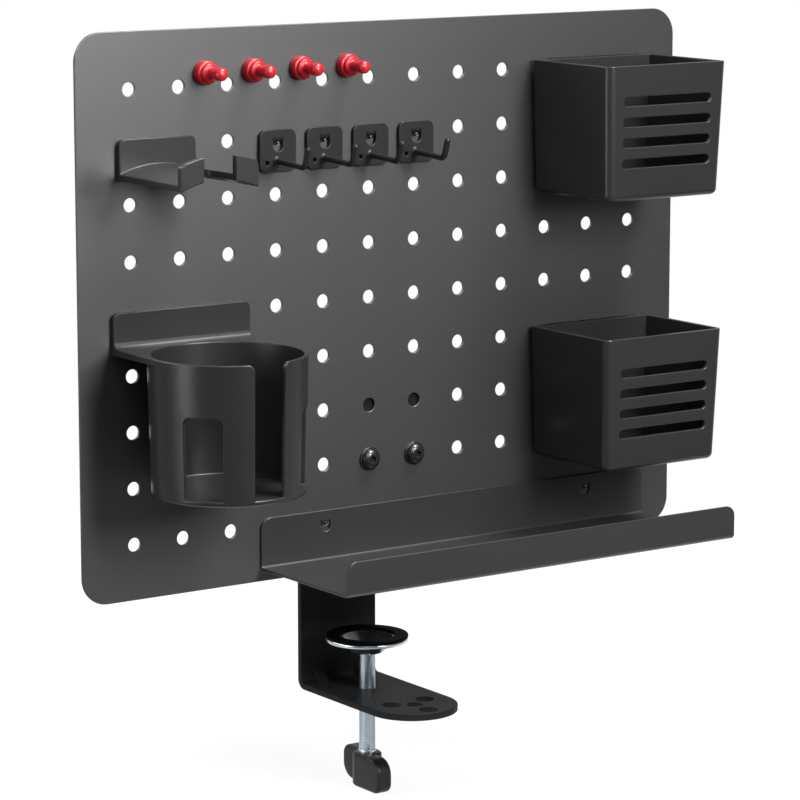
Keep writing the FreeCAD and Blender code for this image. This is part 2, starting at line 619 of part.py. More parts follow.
def make_hanger():
    body = new_body("headphone_hanger", between(HANGER_COLUMNS), FRONT_FACE, level("hanger_row"))
    half_width, floor = "hanger_width / 2", "-saddle_drop"
    under = "-saddle_drop - saddle_thick"
    flat = sketch(body, "hanger_plate_outline", "XZ", "face_gap")
    outline(flat, [
        (f"-{half_width}", under), (half_width, under), (half_width, "hanger_top", "lip_corner"),
        (f"-{half_width}", "hanger_top", "lip_corner"),
    ])
    pad(body, flat, "hanger_plate", "hanger_thick")
    flat = sketch(body, "saddle_outline", "XZ", "face_gap + hanger_thick / 2")
    arched_band(flat, half_width, under, "saddle_arch", floor, "saddle_arch")
    pad(body, flat, "saddle", "hanger_reach - lip_thick / 2 - face_gap - hanger_thick / 2")
    flat = sketch(body, "lip_outline", "XZ", "hanger_reach - lip_thick")
    arched_band(flat, half_width, under, "saddle_arch", f"{floor} + lip_height", "lip_arch")
    pad(body, flat, "front_lip", "lip_thick")
    lip_height = number(f"{floor} + lip_height")
    blend_edges(body, "lip_corners", "lip_corner",
                lambda edge: runs_along(edge, "y") and near(middle(edge).z, lip_height))
    flat = sketch(body, "notch_outline", "XY")
    half_notch, back = "notch_width / 2", "-hanger_reach + notch_length"
    front = "-hanger_reach - lip_thick"
    outline(flat, [
        (f"-{half_notch}", front), (half_notch, front), (half_notch, back, f"{FULL_ROUND} * notch_width"),
        (f"-{half_notch}", back, f"{FULL_ROUND} * notch_width"),
    ])
    pocket(body, flat, "notch")
    for name, sign in (("left_tab", "-"), ("right_tab", "")):
        moulded_tab(body, name, f"{sign}{half_span(HANGER_COLUMNS)}", "face_gap + hanger_thick / 2")


# ---------------------------------------------------------------- the cup holder
CUP_COLUMNS = (1, 3)
CUP_FORWARD = "(cup_radius + cup_clearance)"
WEDGE_REACH = "(2 * cup_radius)"


def make_cup_holder():
    body = new_body("cup_holder", between(CUP_COLUMNS), FRONT_FACE, level("cup_row"))
    left, right = "cup_offset - cup_radius", "cup_offset + cup_radius"
    shelf_top = "-cup_shelf_drop"
    shelf_under = "-cup_shelf_drop - cup_shelf_thick"
    flat = sketch(body, "flange_outline", "XZ", "face_gap")
    outline(flat, [
        (left, shelf_under), (right, shelf_under), (right, "flange_top", "flange_corner"),
        (left, "flange_top", "flange_corner"),
    ])
    pad(body, flat, "flange", "flange_thick")
    flat = sketch(body, "shelf_outline", "XY", shelf_under)
    rectangle(flat, left, f"-{CUP_FORWARD}", right, "-face_gap")
    pad(body, flat, "shelf", "cup_shelf_thick")
    root_depth, root_height = number("-face_gap - flange_thick"), number(shelf_top)

    def flange_root(edge):
        spot = middle(edge)
        return runs_along(edge, "x") and near(spot.y, root_depth) and near(spot.z, root_height)
    blend_edges(body, "flange_root", "flange_root", flange_root)
    flat = sketch(body, "mouth_outline", "XY", shelf_top)
    circle(flat, "cup_offset", f"-{CUP_FORWARD}", "cup_radius - cup_wall / 2")
    pocket(body, flat, "mouth", "cup_shelf_thick")
    floor_under = f"{shelf_top} - cup_depth"
    floor_top = f"{floor_under} + cup_base"
    low_radius = "cup_radius - cup_draft"
    flat = sketch(body, "cup_profile", "XZ", CUP_FORWARD, "cup_offset")
    outline(flat, [
        ("0", floor_under), (low_radius, floor_under, "cup_foot_round"), ("cup_radius", shelf_top),
        ("cup_radius - cup_wall", shelf_top), (f"{low_radius} - cup_wall", floor_top), ("0", floor_top),
    ])
    revolve(body, flat, "cup")
    openings = (
        ("front_gap", "-gap_angle / 2", "gap_angle / 2", "cup_depth"),
        ("left_window", "-window_bearing - window_angle / 2", "-window_bearing + window_angle / 2",
         "cup_depth - cup_base - window_drop"),
        ("right_window", "window_bearing - window_angle / 2", "window_bearing + window_angle / 2",
         "cup_depth - cup_base - window_drop"),
    )
    for name, start, end, height in openings:
        flat = sketch(body, f"{name}_outline", "XY", floor_top)
        corners = [("cup_offset", f"-{CUP_FORWARD}")]
        for bearing in (start, end):
            across = f"cup_offset + {WEDGE_REACH} * sin({bearing})"
            corners.append((across, f"-{CUP_FORWARD} - {WEDGE_REACH} * cos({bearing})"))
        outline(flat, corners)
        pocket(body, flat, name, height, upwards=True)
    window_top, rim_top = number(f"{shelf_top} - window_drop"), number(shelf_top)
    wall, forward = number("cup_wall"), number(CUP_FORWARD)

    def opening_corner(edge):
        spot = middle(edge)
        short = edge.Length < 1.3 * wall and edge.Curve.TypeId == "Part::GeomLine"
        high = near(spot.z, window_top) or near(spot.z, rim_top)
        return short and high and spot.y < -forward and not runs_along(edge, "z")
    blend_edges(body, "opening_corners", "window_corner", opening_corner)
    for name, sign in (("left_tab", "-"), ("right_tab", "")):
        moulded_tab(body, name, f"{sign}{half_span(CUP_COLUMNS)}", "face_gap + flange_thick / 2")


# ---------------------------------------------------------------- the pen boxes
BOX_COLUMNS = (10, 12)


def drafted_block(body, kind, name, inset, low, share):
    """A block with drafted sides and front, set in by a wall; share is its draft at the bottom."""
    block = body.newObject(f"PartDesign::{kind}", name)
    block.Placement = FreeCAD.Placement(V(0, 0, 0), FreeCAD.Rotation(V(1, 0, 0), 90))
    half_low = f"(box_width / 2 - box_side_draft * {share} - {inset})"
    half_rim = f"(box_width / 2 - {inset})"
    back = f"box_standoff + {inset}"
    sizes = {
        "Xmin": f"box_offset - {half_low}", "Xmax": f"box_offset + {half_low}",
        "X2min": f"box_offset - {half_rim}", "X2max": f"box_offset + {half_rim}",
        "Ymin": low, "Ymax": "box_top", "Zmin": back, "Z2min": back,
        "Zmax": f"box_front - box_front_draft * {share} - {inset}", "Z2max": f"box_front - {inset}",
    }
    for side, text in sizes.items():
        block.setExpression(side, sheet(text))


def make_pen_box(label, row):
    body = new_body(label, between(BOX_COLUMNS), FRONT_FACE, level(row))
    low = "box_top - box_height"
    low_height, back_depth = number(low), number("-box_standoff")

    def front_corner(inset):
        """A test for the upright corners at the front, set in by a wall."""
        depth = number(f"-(box_front - box_front_draft / 2 - {inset})")
        least = number("0.8 * box_height")
        return lambda edge: edge.Length > least and near(middle(edge).y, depth, 0.5)

    def bottom_edge(edge):
        spot = middle(edge)
        return near(spot.z, low_height) and not near(spot.y, back_depth)
    drafted_block(body, "AdditiveWedge", "shell", "0", low, "1")
    blend_edges(body, "shell_corners", "box_corner", front_corner("0"))
    blend_edges(body, "bottom_round", "box_bottom_round", bottom_edge)
    floor_share = "(1 - box_floor / box_height)"
    drafted_block(body, "SubtractiveWedge", "cavity", "box_wall", f"{low} + box_floor", floor_share)
    blend_edges(body, "cavity_corners", "box_corner - box_wall", front_corner("box_wall"))
    flat = sketch(body, "slots_outline", "XZ", "box_front")
    for index in range(int(number("slot_count"))):
        height = f"box_top - slot_first_drop - slot_pitch * {index}"
        low_edge, high_edge = f"{height} - slot_height / 2", f"{height} + slot_height / 2"
        rectangle(flat, "box_offset - slot_length / 2", low_edge, "box_offset + slot_length / 2", high_edge,
                  f"{FULL_ROUND} * slot_height")
    pocket(body, flat, "slots", "box_front / 2")
    flat = sketch(body, "rests_outline", "XZ", "face_gap")
    for sign in ("-", ""):
        across = f"{sign}{half_span(BOX_COLUMNS)}"
        circle(flat, across, "0", "boss_round_dia / 2")
        circle(flat, across, f"{low} + 2 * box_floor + boss_round_dia / 2", "boss_round_dia / 2")
    pad(body, flat, "rests", "box_standoff - face_gap + box_wall / 2")
    for name, sign in (("left_tab", "-"), ("right_tab", "")):
        moulded_tab(body, name, f"{sign}{half_span(BOX_COLUMNS)}", "box_standoff")


# ---------------------------------------------------------------- the tray
TRAY_COLUMNS = (5, 11)


def make_tray():
    body = new_body("tray", between(TRAY_COLUMNS), FRONT_FACE, level("tray_row"))
    floor, under = "-tray_floor_drop", "-tray_floor_drop - tray_thick"
    lip_top, front = f"{under} + tray_lip", "-tray_depth"
    back, inner, outer = "-face_gap", "tray_bend", "tray_bend + tray_thick"
    flat = sketch(body, "tray_side_view", "YZ")
    outline(flat, [
        (back, "tray_back_top"), (back, under, outer), (front, under, outer), (front, lip_top),
        (f"{front} + tray_thick", lip_top), (f"{front} + tray_thick", floor, inner),
        (f"{back} - tray_thick", floor, inner), (f"{back} - tray_thick", "tray_back_top"),
    ])
    pad(body, flat, "tray_sheet", "tray_width", centred=True)
    tops = (number("tray_back_top"), number(lip_top))
    blend_edges(body, "tray_corners", "tray_corner",
                lambda edge: runs_along(edge, "y") and any(near(middle(edge).z, top) for top in tops))
    for name, sign in (("left_tab", "-"), ("right_tab", "")):
        lanced_tab(body, name, f"{sign}{half_span(TRAY_COLUMNS)}", "tray_thick", "tray_lance_width")


make_panel()
make_bracket()
make_jaw_pad()
make_clamp_nut()
make_clamp_screw()
make_pressure_cup()
make_knob()
make_fixings()
for number_on_row, place in enumerate(HOOK_COLUMNS, start=1):
    make_hook(number_on_row, place)
for index in range(1, MAGNET_COUNT + 1):
    make_magnet(index)
make_hanger()
make_cup_holder()
make_pen_box("pen_box_upper", "upper_box_row")
make_pen_box("pen_box_lower", "lower_box_row")
make_tray()
doc.recompute()

# ---------------------------------------------------------------- check and write
for item in doc.Objects:
    if "Invalid" in item.State or "Error" in item.State:
        raise RuntimeError(f"{item.Name} failed: {item.State}")
for piece in pieces:
    if piece.Shape.isNull() or not piece.Shape.isValid() or len(piece.Shape.Solids) != 1:
        raise RuntimeError(f"{piece.Label} has no sound solid")
os.makedirs("parts", exist_ok=True)
for piece in pieces:
    piece.Shape.exportStep(f"parts/{piece.Label}.step")
    box = piece.Shape.BoundBox
    print(f"{piece.Label:22} {piece.Shape.Volume:10.1f} mm3"
          f"  x {box.XMin:7.1f} {box.XMax:7.1f}  y {box.YMin:6.1f} {box.YMax:6.1f}"
          f"  z {box.ZMin:7.1f} {box.ZMax:7.1f}")
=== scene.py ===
"""The clamp-on pegboard organiser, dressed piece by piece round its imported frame.

Lengths are metres in the part's own frame; `mm` turns a size in millimetres into one.
"""
import math

import bmesh
import bpy
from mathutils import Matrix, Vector


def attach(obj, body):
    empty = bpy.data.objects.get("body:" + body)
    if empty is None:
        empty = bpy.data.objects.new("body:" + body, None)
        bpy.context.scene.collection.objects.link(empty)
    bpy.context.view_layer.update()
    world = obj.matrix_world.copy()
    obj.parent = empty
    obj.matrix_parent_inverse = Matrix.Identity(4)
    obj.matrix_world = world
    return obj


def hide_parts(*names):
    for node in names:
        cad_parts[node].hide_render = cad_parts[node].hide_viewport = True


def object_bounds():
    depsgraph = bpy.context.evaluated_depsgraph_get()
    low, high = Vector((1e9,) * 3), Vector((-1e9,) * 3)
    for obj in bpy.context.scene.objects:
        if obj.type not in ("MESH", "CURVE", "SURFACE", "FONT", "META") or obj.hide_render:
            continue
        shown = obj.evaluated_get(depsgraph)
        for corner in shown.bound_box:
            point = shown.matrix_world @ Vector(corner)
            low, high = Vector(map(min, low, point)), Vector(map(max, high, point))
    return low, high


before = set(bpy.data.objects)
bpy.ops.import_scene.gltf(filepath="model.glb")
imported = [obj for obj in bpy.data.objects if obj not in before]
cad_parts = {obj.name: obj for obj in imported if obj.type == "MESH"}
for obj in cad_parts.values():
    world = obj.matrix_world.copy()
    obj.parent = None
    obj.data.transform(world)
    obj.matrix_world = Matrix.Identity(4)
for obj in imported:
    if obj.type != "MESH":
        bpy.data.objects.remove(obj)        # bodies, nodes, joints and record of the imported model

cad_low, cad_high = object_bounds()
mm = 0.001

# ---------------------------------------------------------------- where it is seen from
# A long lens a metre and a half away, to the left of the board and a little above it, so the
# board's upright edges stay upright and its rows of holes run gently together.
CAMERA_SPOT = Vector((-0.9095, -1.3298, 0.3571))
LOOKS_RIGHT = math.radians(34.93)
LOOKS_DOWN = math.radians(9.80)
lens = bpy.data.cameras.new("camera")
lens.sensor_width = 36.0
lens.lens = 155.97
camera = bpy.data.objects.new("camera", lens)
bpy.context.scene.collection.objects.link(camera)
camera.location = CAMERA_SPOT
gaze = Vector((math.sin(LOOKS_RIGHT) * math.cos(LOOKS_DOWN), math.cos(LOOKS_RIGHT) * math.cos(LOOKS_DOWN),
               -math.sin(LOOKS_DOWN)))
camera.rotation_mode = "QUATERNION"
camera.rotation_quaternion = gaze.to_track_quat("-Z", "Y")
bpy.context.scene.camera = camera


# ---------------------------------------------------------------- the perforated board
# 1.5 mm steel sheet, punched with quarter-inch holes on a one-inch grid. It is powder coated
# after punching, so each hole and the outer edge carry a soft round of paint.
def tint(hexadecimal):
    """An sRGB hex colour as the linear RGBA that a shader takes."""
    channels = [int(hexadecimal[i:i + 2], 16) / 255 for i in (1, 3, 5)]
    return [c / 12.92 if c <= 0.04045 else ((c + 0.055) / 1.055) ** 2.4 for c in channels] + [1.0]


def add(material, kind, settings=None, links=None):
    """Add one shader node with its settings, and join its sockets to what feeds them."""
    node = material.node_tree.nodes.new("ShaderNode" + kind)
    for key, value in (settings or {}).items():
        if isinstance(key, int) or key in node.inputs:
            node.inputs[key].default_value = value
        else:
            setattr(node, key, value)
    for socket, source in (links or {}).items():
        material.node_tree.links.new(source, node.inputs[socket])
    return node


def new_finish(name):
    material = bpy.data.materials.new(name)
    material.use_nodes = True
    material.node_tree.nodes.clear()
    return material


def alone(piece):
    """Make one piece the only thing selected, and active."""
    bpy.ops.object.select_all(action="DESELECT")
    piece.select_set(True)
    bpy.context.view_layer.objects.active = piece


def cast_from(node, name):
    """A working copy of a CAD node's skin, with its loose triangles joined into four-sided faces."""
    piece = bpy.data.objects.new(name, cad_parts[node].data.copy())
    bpy.context.scene.collection.objects.link(piece)
    piece.data.materials.clear()
    alone(piece)
    if piece.data.has_custom_normals:
        bpy.ops.mesh.customdata_custom_splitnormals_clear()
    bpy.ops.object.mode_set(mode="EDIT")
    bpy.ops.mesh.select_all(action="SELECT")
    bpy.ops.mesh.remove_doubles(threshold=0.002 * mm)
    bpy.ops.mesh.tris_convert_to_quads(face_threshold=math.radians(0.5), shape_threshold=math.radians(180))
    bpy.ops.object.mode_set(mode="OBJECT")
    return piece


def ease(piece, width, segments=2, sharper_than=30, spared=None):
    """Round the edges sharper than an angle, apart from those spared by their place, and shade it smooth."""
    alone(piece)
    bpy.ops.object.shade_smooth()
    skin = bmesh.new()
    skin.from_mesh(piece.data)
    share = skin.edges.layers.float.new("bevel_weight_edge")
    for edge in skin.edges:
        if edge.calc_face_angle(0) > math.radians(sharper_than):
            kept = spared is not None and spared((edge.verts[0].co + edge.verts[1].co) / 2)
            edge[share] = 0.0 if kept else 1.0
            edge.smooth = not kept
    skin.to_mesh(piece.data)
    skin.free()
    rounding = piece.modifiers.new("rounding", "BEVEL")
    rounding.limit_method = "WEIGHT"
    rounding.width = width
    rounding.segments = segments
    rounding.use_clamp_overlap = False
    rounding.loop_slide = False
    rounding.harden_normals = True
    bpy.ops.object.modifier_apply(modifier="rounding")


def powder_coat(name, light, dark, roughness, specular, grain):
    """Polyester powder coat: a matt skin of fused grains, its tone drifting at random, with painted shade
    that darkens the colour in the grains' valleys.
    """
    coat = new_finish(name)
    place = add(coat, "TexCoord").outputs["Object"]
    drift = add(coat, "TexNoise", {"Scale": 1 / (60 * mm), "Detail": 2.0}, {"Vector": place})
    grains = add(coat, "TexNoise", {"Scale": 1 / grain, "Detail": 3.0, "Roughness": 0.6}, {"Vector": place})
    # The colour follows the grain bump as well as a random drift: painted shade, a little darker where the
    # grains dip.
    share = add(coat, "Math", {"operation": "MULTIPLY_ADD", 1: 0.5},
                {0: grains.outputs["Fac"], 2: add(coat, "Math", {"operation": "MULTIPLY", 1: 0.5},
                                                  {0: drift.outputs["Fac"]}).outputs[0]})
    colour = add(coat, "Mix", {"data_type": "RGBA", "A": tint(dark), "B": tint(light)},
                 {"Factor": share.outputs[0]})
    gloss = add(coat, "MapRange", {"From Min": 0.3, "From Max": 0.7, "To Min": roughness - 0.04,
                                   "To Max": roughness + 0.04}, {"Value": grains.outputs["Fac"]})
    bump = add(coat, "Bump", {"Strength": 0.25, "Distance": 0.06 * mm}, {"Height": grains.outputs["Fac"]})
    skin = add(coat, "BsdfPrincipled", {"IOR": 1.5, "Specular IOR Level": specular},
               {"Base Color": colour.outputs["Result"], "Roughness": gloss.outputs["Result"],
                "Normal": bump.outputs["Normal"]})
    add(coat, "OutputMaterial", {}, {"Surface": skin.outputs["BSDF"]})
    return coat


board_coat = powder_coat("fine_grey_powder_coat", "#111112", "#0d0d0e", 0.45, 1.0, 0.8 * mm)
board = cast_from("pegboard_panel", "perforated_board")
ease(board, 0.35 * mm)
board.data.materials.append(board_coat)
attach(board, "root")
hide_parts("pegboard_panel")

# ---------------------------------------------------------------- the clamp strap
# 3 mm steel strip folded into a jaw, a leg and an arm, with two small webs pressed into the
# lower bend. It has a darker coat than the board, and a duller one.
def turned(name, profile, steps=64):
    """A lathe-turned piece on the z axis. Its profile is (radius, height, size of the corner's round)."""
    bpy.ops.object.select_all(action="DESELECT")
    bpy.ops.mesh.primitive_plane_add(size=mm)
    piece = bpy.context.object
    piece.name = name
    bpy.ops.object.mode_set(mode="EDIT")
    bpy.ops.mesh.merge(type="CENTER")
    last = Vector((0, 0, 0))
    for number, (radius, height, _) in enumerate(profile):
        spot = Vector((radius, 0, height)) * mm
        if number == 0:
            bpy.ops.transform.translate(value=spot - last)
        else:
            bpy.ops.mesh.extrude_vertices_move(TRANSFORM_OT_translate={"value": spot - last})
        last = spot
    for radius, height, corner in profile:
        if corner:
            pick(piece, lambda vertex: (vertex.co - Vector((radius, 0, height)) * mm).length < 0.001 * mm)
            bpy.ops.mesh.bevel(affect="VERTICES", offset=corner * mm, segments=5, clamp_overlap=False)
    bpy.ops.mesh.select_all(action="SELECT")
    bpy.ops.mesh.spin(steps=steps, angle=2 * math.pi, center=(0, 0, 0), axis=(0, 0, 1))
    bpy.ops.mesh.select_all(action="SELECT")
    bpy.ops.mesh.remove_doubles(threshold=0.001 * mm)
    bpy.ops.mesh.normals_make_consistent(inside=False)
    bpy.ops.object.mode_set(mode="OBJECT")
    bpy.ops.object.shade_smooth_by_angle(angle=math.radians(35))
    return piece


def pick(piece, wanted):
    """In edit mode, select just the vertices that a test picks out."""
    bpy.ops.mesh.select_mode(type="VERT")
    bpy.ops.mesh.select_all(action="DESELECT")
    skin = bmesh.from_edit_mesh(piece.data)
    for vertex in skin.verts:
        vertex.select = wanted(vertex)
    skin.select_flush(True)
    bmesh.update_edit_mesh(piece.data)


def settle(piece, spot, turn=(0, 0, 0)):
    """Put a finished piece in its place, with that place in its mesh."""
    piece.location = Vector(spot) * mm
    piece.rotation_euler = [math.radians(angle) for angle in turn]
    alone(piece)
    bpy.ops.object.transform_apply(location=True, rotation=True, scale=True)


def cut(piece, tool, operation):
    """Cut a piece with another, which is used up."""
    alone(piece)
    boolean = piece.modifiers.new("cut", "BOOLEAN")
    boolean.operation = operation
    boolean.object = tool
    boolean.solver = "EXACT"
    bpy.ops.object.modifier_apply(modifier="cut")
    bpy.data.objects.remove(tool)


strap_coat = powder_coat("satin_black_powder_coat", "#1b1b1c", "#171718", 0.46, 0.03, 0.6 * mm)
ARM_END = Vector((0, -37.1 * mm))        # the centre of the arm's rounded end
ARM_END_REACH = 20.6 * mm                # how far from there the edges stay sharp
ARM_TOP = -60.5
ARM_HOLES_MIDDLE = -39.6
strap = cast_from("clamp_bracket", "clamp_strap")
# The middle hole of the arm has a shallow countersink, like the three round it.
countersink = turned("countersink", [(0, ARM_TOP - 2.2, 0), (1.9, ARM_TOP - 2.2, 0), (5.1, ARM_TOP + 1, 0),
                                     (0, ARM_TOP + 1, 0)], 48)
settle(countersink, (0, ARM_HOLES_MIDDLE, 0))
cut(strap, countersink, "DIFFERENCE")
ease(strap, 0.4 * mm, 3, spared=lambda spot: (spot.z < (ARM_TOP + 1.5) * mm
                                              and (spot.xy - ARM_END).length < ARM_END_REACH))
strap.data.materials.append(strap_coat)
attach(strap, "root")
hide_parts("clamp_bracket")

# ---------------------------------------------------------------- the pad under the jaw
# A small sheet of nitrile rubber stuck under the jaw, so that the steel doesn't mark the desk.
rubber = new_finish("matt_black_rubber")
place = add(rubber, "TexCoord").outputs["Object"]
# One fine noise gives the rubber its bumps and its spread of roughness. It also sets the colour a shade
# darker where the bumps dip, which is painted shade.
bumps_and_dip_shade = add(rubber, "TexNoise", {"Scale": 1 / (0.7 * mm), "Detail": 2.0}, {"Vector": place})
gloss = add(rubber, "MapRange", {"To Min": 0.55, "To Max": 0.75}, {"Value": bumps_and_dip_shade.outputs["Fac"]})
bump = add(rubber, "Bump", {"Strength": 0.2, "Distance": 0.05 * mm}, {"Height": bumps_and_dip_shade.outputs["Fac"]})
colour = add(rubber, "Mix", {"data_type": "RGBA", "A": tint("#030303"), "B": tint("#060606")},
             {"Factor": bumps_and_dip_shade.outputs["Fac"]})
skin = add(rubber, "BsdfPrincipled", {"IOR": 1.5, "Specular IOR Level": 0.02},
           {"Base Color": colour.outputs["Result"], "Roughness": gloss.outputs["Result"],
            "Normal": bump.outputs["Normal"]})
add(rubber, "OutputMaterial", {}, {"Surface": skin.outputs["BSDF"]})
jaw_pad = cast_from("jaw_pad", "jaw_rubber")
ease(jaw_pad, 0.3 * mm)
jaw_pad.data.materials.append(rubber)
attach(jaw_pad, "root")
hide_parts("jaw_pad")

# ---------------------------------------------------------------- zinc-plated clamp hardware
# The nut under the arm, the M8 screw and the spun dish are mild steel with bright zinc plate.
# The blue passivation on it gives the metal a faint cold cast.
zinc = new_finish("bright_blue_zinc_plate")
place = add(zinc, "TexCoord").outputs["Object"]
cloud = add(zinc, "TexNoise", {"Scale": 1 / (3 * mm), "Detail": 4.0}, {"Vector": place})
colour = add(zinc, "Mix", {"data_type": "RGBA", "A": tint("#b4bfc6"), "B": tint("#c9d2d8")},
             {"Factor": cloud.outputs["Fac"]})
gloss = add(zinc, "MapRange", {"To Min": 0.24, "To Max": 0.28}, {"Value": cloud.outputs["Fac"]})
skin = add(zinc, "BsdfPrincipled", {"Metallic": 1.0}, {"Base Color": colour.outputs["Result"],
           "Roughness": gloss.outputs["Result"]})
add(zinc, "OutputMaterial", {}, {"Surface": skin.outputs["BSDF"]})


def hex_nut(name, flats, height, bore):
    """A hexagon nut lying on z = 0: its corners are chamfered on the lathe, and its bore countersunk."""
    across_corners = flats / math.cos(math.pi / 6)
    bpy.ops.object.select_all(action="DESELECT")
    bpy.ops.mesh.primitive_cylinder_add(vertices=6, radius=across_corners / 2 * mm, depth=height * mm,
                                        location=(0, 0, height / 2 * mm))
    nut = bpy.context.object
    nut.name = name
    bpy.ops.object.transform_apply(location=True, rotation=True, scale=True)
    chamfer = (across_corners - flats) / 2
    face = flats / 2 * 0.96
    drop = (across_corners / 2 + chamfer - face) * math.tan(math.radians(30))
    cut(nut, turned("lathe_chamfer", [(0, 0, 0), (face, 0, 0), (across_corners / 2 + chamfer, drop, 0),
                                      (across_corners / 2 + chamfer, height - drop, 0), (face, height, 0),
                                      (0, height, 0)]), "INTERSECT")
    sink = bore / 2 + 0.4
    cut(nut, turned("bore", [(0, -1, 0), (sink + 1, -1, 0), (bore / 2, 0.4, 0), (bore / 2, height - 0.4, 0),
                             (sink + 1, height + 1, 0), (0, height + 1, 0)], 48), "DIFFERENCE")
    bpy.ops.object.shade_smooth_by_angle(angle=math.radians(25))
    return nut


ARM_UNDER = -63.5
ARM_NUT_FLATS, ARM_NUT_HEIGHT, ARM_NUT_BORE = 13.0, 6.5, 7.9
arm_nut = hex_nut("arm_nut", ARM_NUT_FLATS, ARM_NUT_HEIGHT, ARM_NUT_BORE)
settle(arm_nut, (0, 0, ARM_UNDER - ARM_NUT_HEIGHT))
arm_nut.data.materials.append(zinc)
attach(arm_nut, "root")
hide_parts("clamp_nut")

# The thread is rolled: one turn of its profile, carried round and up by its pitch.
PITCH, CREST, ROOT = 0.75, 3.95, 3.60
STEPS_A_TURN = 48
SCREW_LOW, SHOULDER, SEAT = -105.2, -43.1, -40.9
turns = math.ceil((SHOULDER - SCREW_LOW) / PITCH) + 2
bpy.ops.object.select_all(action="DESELECT")
bpy.ops.mesh.primitive_plane_add(size=mm)
screw = bpy.context.object
screw.name = "m8_screw"
bpy.ops.object.mode_set(mode="EDIT")
bpy.ops.mesh.merge(type="CENTER")
ridge = [(ROOT, 0.0), (ROOT, 0.10), (CREST - 0.04, 0.29), (CREST, 0.33), (CREST, 0.42), (CREST - 0.04, 0.46),
         (ROOT, 0.65), (ROOT, PITCH)]
bpy.ops.transform.translate(value=Vector((ROOT, 0, SCREW_LOW - PITCH)) * mm)
for (radius, rise), (next_radius, next_rise) in zip(ridge, ridge[1:]):
    bpy.ops.mesh.extrude_vertices_move(
        TRANSFORM_OT_translate={"value": Vector((next_radius - radius, 0, next_rise - rise)) * mm})
bpy.ops.object.mode_set(mode="OBJECT")
alone(screw)
bpy.ops.object.transform_apply(location=True, rotation=True, scale=True)
winding = screw.modifiers.new("winding", "SCREW")
winding.steps = winding.render_steps = STEPS_A_TURN
winding.screw_offset = PITCH * mm
winding.iterations = turns
winding.use_merge_vertices = True
winding.merge_threshold = 0.002 * mm
bpy.ops.object.modifier_apply(modifier="winding")
bpy.ops.object.mode_set(mode="EDIT")
for height, side in ((SCREW_LOW, -1), (SHOULDER, 1)):
    bpy.ops.mesh.select_all(action="SELECT")
    bpy.ops.mesh.remove_doubles(threshold=0.002 * mm)
    bpy.ops.mesh.bisect(plane_co=(0, 0, height * mm), plane_no=(0, 0, side), use_fill=True, clear_outer=True)
bpy.ops.mesh.select_all(action="SELECT")
bpy.ops.mesh.normals_make_consistent(inside=False)
bpy.ops.object.mode_set(mode="OBJECT")
bpy.ops.object.shade_smooth_by_angle(angle=math.radians(25))
rivet_end = turned("rivet_end", [(0, SHOULDER - 1, 0), (2.95, SHOULDER - 1, 0), (2.95, SEAT, 0),
                                 (4.8, SEAT, 0.2), (4.8, SEAT + 1.5, 0.9), (0, SEAT + 1.5, 0)], 48)
# A plated steel insert, moulded into the knob, takes the screw's lower end.
KNOB_TOP = -92.2
insert = turned("knob_insert", [(3.6, KNOB_TOP - 0.6, 0), (4.25, KNOB_TOP - 0.6, 0),
                                (4.25, KNOB_TOP + 1.4, 0.2), (3.6, KNOB_TOP + 1.6, 0),
                                (3.6, KNOB_TOP - 0.6, 0)], 48)
alone(screw)
rivet_end.select_set(True)
insert.select_set(True)
bpy.ops.object.join()
screw.data.materials.append(zinc)
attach(screw, "clamp_screw_body")
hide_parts("clamp_screw")

# The dish is spun from thick sheet: a boss under it, a conical bowl and a flat rim under the rubber.
DISH_UNDER, RIM_TOP = -43.0, -35.6
dish = turned("spun_dish", [(3.0, 0, 0.2), (8.0, 0, 1.0), (11.9, 5.5, 0.5), (19.75, 5.5, 0.6),
                            (19.75, 7.4, 0.6), (12.8, 7.4, 0.9), (6.2, 2.0, 1.0), (3.0, 2.0, 0.2),
                            (3.0, 0, 0)], 96)
settle(dish, (0, 0, DISH_UNDER))
dish.data.materials.append(zinc)
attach(dish, "pressure_cup_body")
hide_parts("pressure_cup")

ring = turned("dish_rubber", [(13.35, 0, 0.2), (19.75, 0, 0.2), (19.75, 1.2, 0.35), (13.35, 1.2, 0.3),
                              (13.35, 0, 0)], 96)
settle(ring, (0, 0, RIM_TOP))
ring.data.materials.append(rubber)
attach(ring, "pressure_cup_body")
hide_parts("pressure_pad_ring")


# ---------------------------------------------------------------- the knob
# Black nylon, moulded on the screw's end. Two flat wings stand off opposite sides of the hub.
def moulded(name, light, dark, roughness, specular, grain):
    """Moulded plastic: an even colour and a spark-eroded texture too fine to see one by one."""
    plastic = new_finish(name)
    place = add(plastic, "TexCoord").outputs["Object"]
    flow = add(plastic, "TexNoise", {"Scale": 1 / (25 * mm), "Detail": 2.0}, {"Vector": place})
    pits = add(plastic, "TexNoise", {"Scale": 1 / grain, "Detail": 2.0}, {"Vector": place})
    colour = add(plastic, "Mix", {"data_type": "RGBA", "A": tint(dark), "B": tint(light)},
                 {"Factor": flow.outputs["Fac"]})
    gloss = add(plastic, "MapRange", {"To Min": roughness - 0.06, "To Max": roughness + 0.06},
                {"Value": pits.outputs["Fac"]})
    bump = add(plastic, "Bump", {"Strength": 0.15, "Distance": 0.04 * mm}, {"Height": pits.outputs["Fac"]})
    skin = add(plastic, "BsdfPrincipled", {"IOR": 1.5, "Specular IOR Level": specular},
               {"Base Color": colour.outputs["Result"], "Roughness": gloss.outputs["Result"],
                "Normal": bump.outputs["Normal"]})
    add(plastic, "OutputMaterial", {}, {"Surface": skin.outputs["BSDF"]})
    return plastic


nylon = moulded("black_nylon", "#151516", "#121213", 0.38, 0.2, 0.5 * mm)
knob = cast_from("clamp_knob", "wing_knob")
ease(knob, 0.5 * mm, 3)
knob.data.materials.append(nylon)
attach(knob, "clamp_screw_body")
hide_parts("clamp_knob")

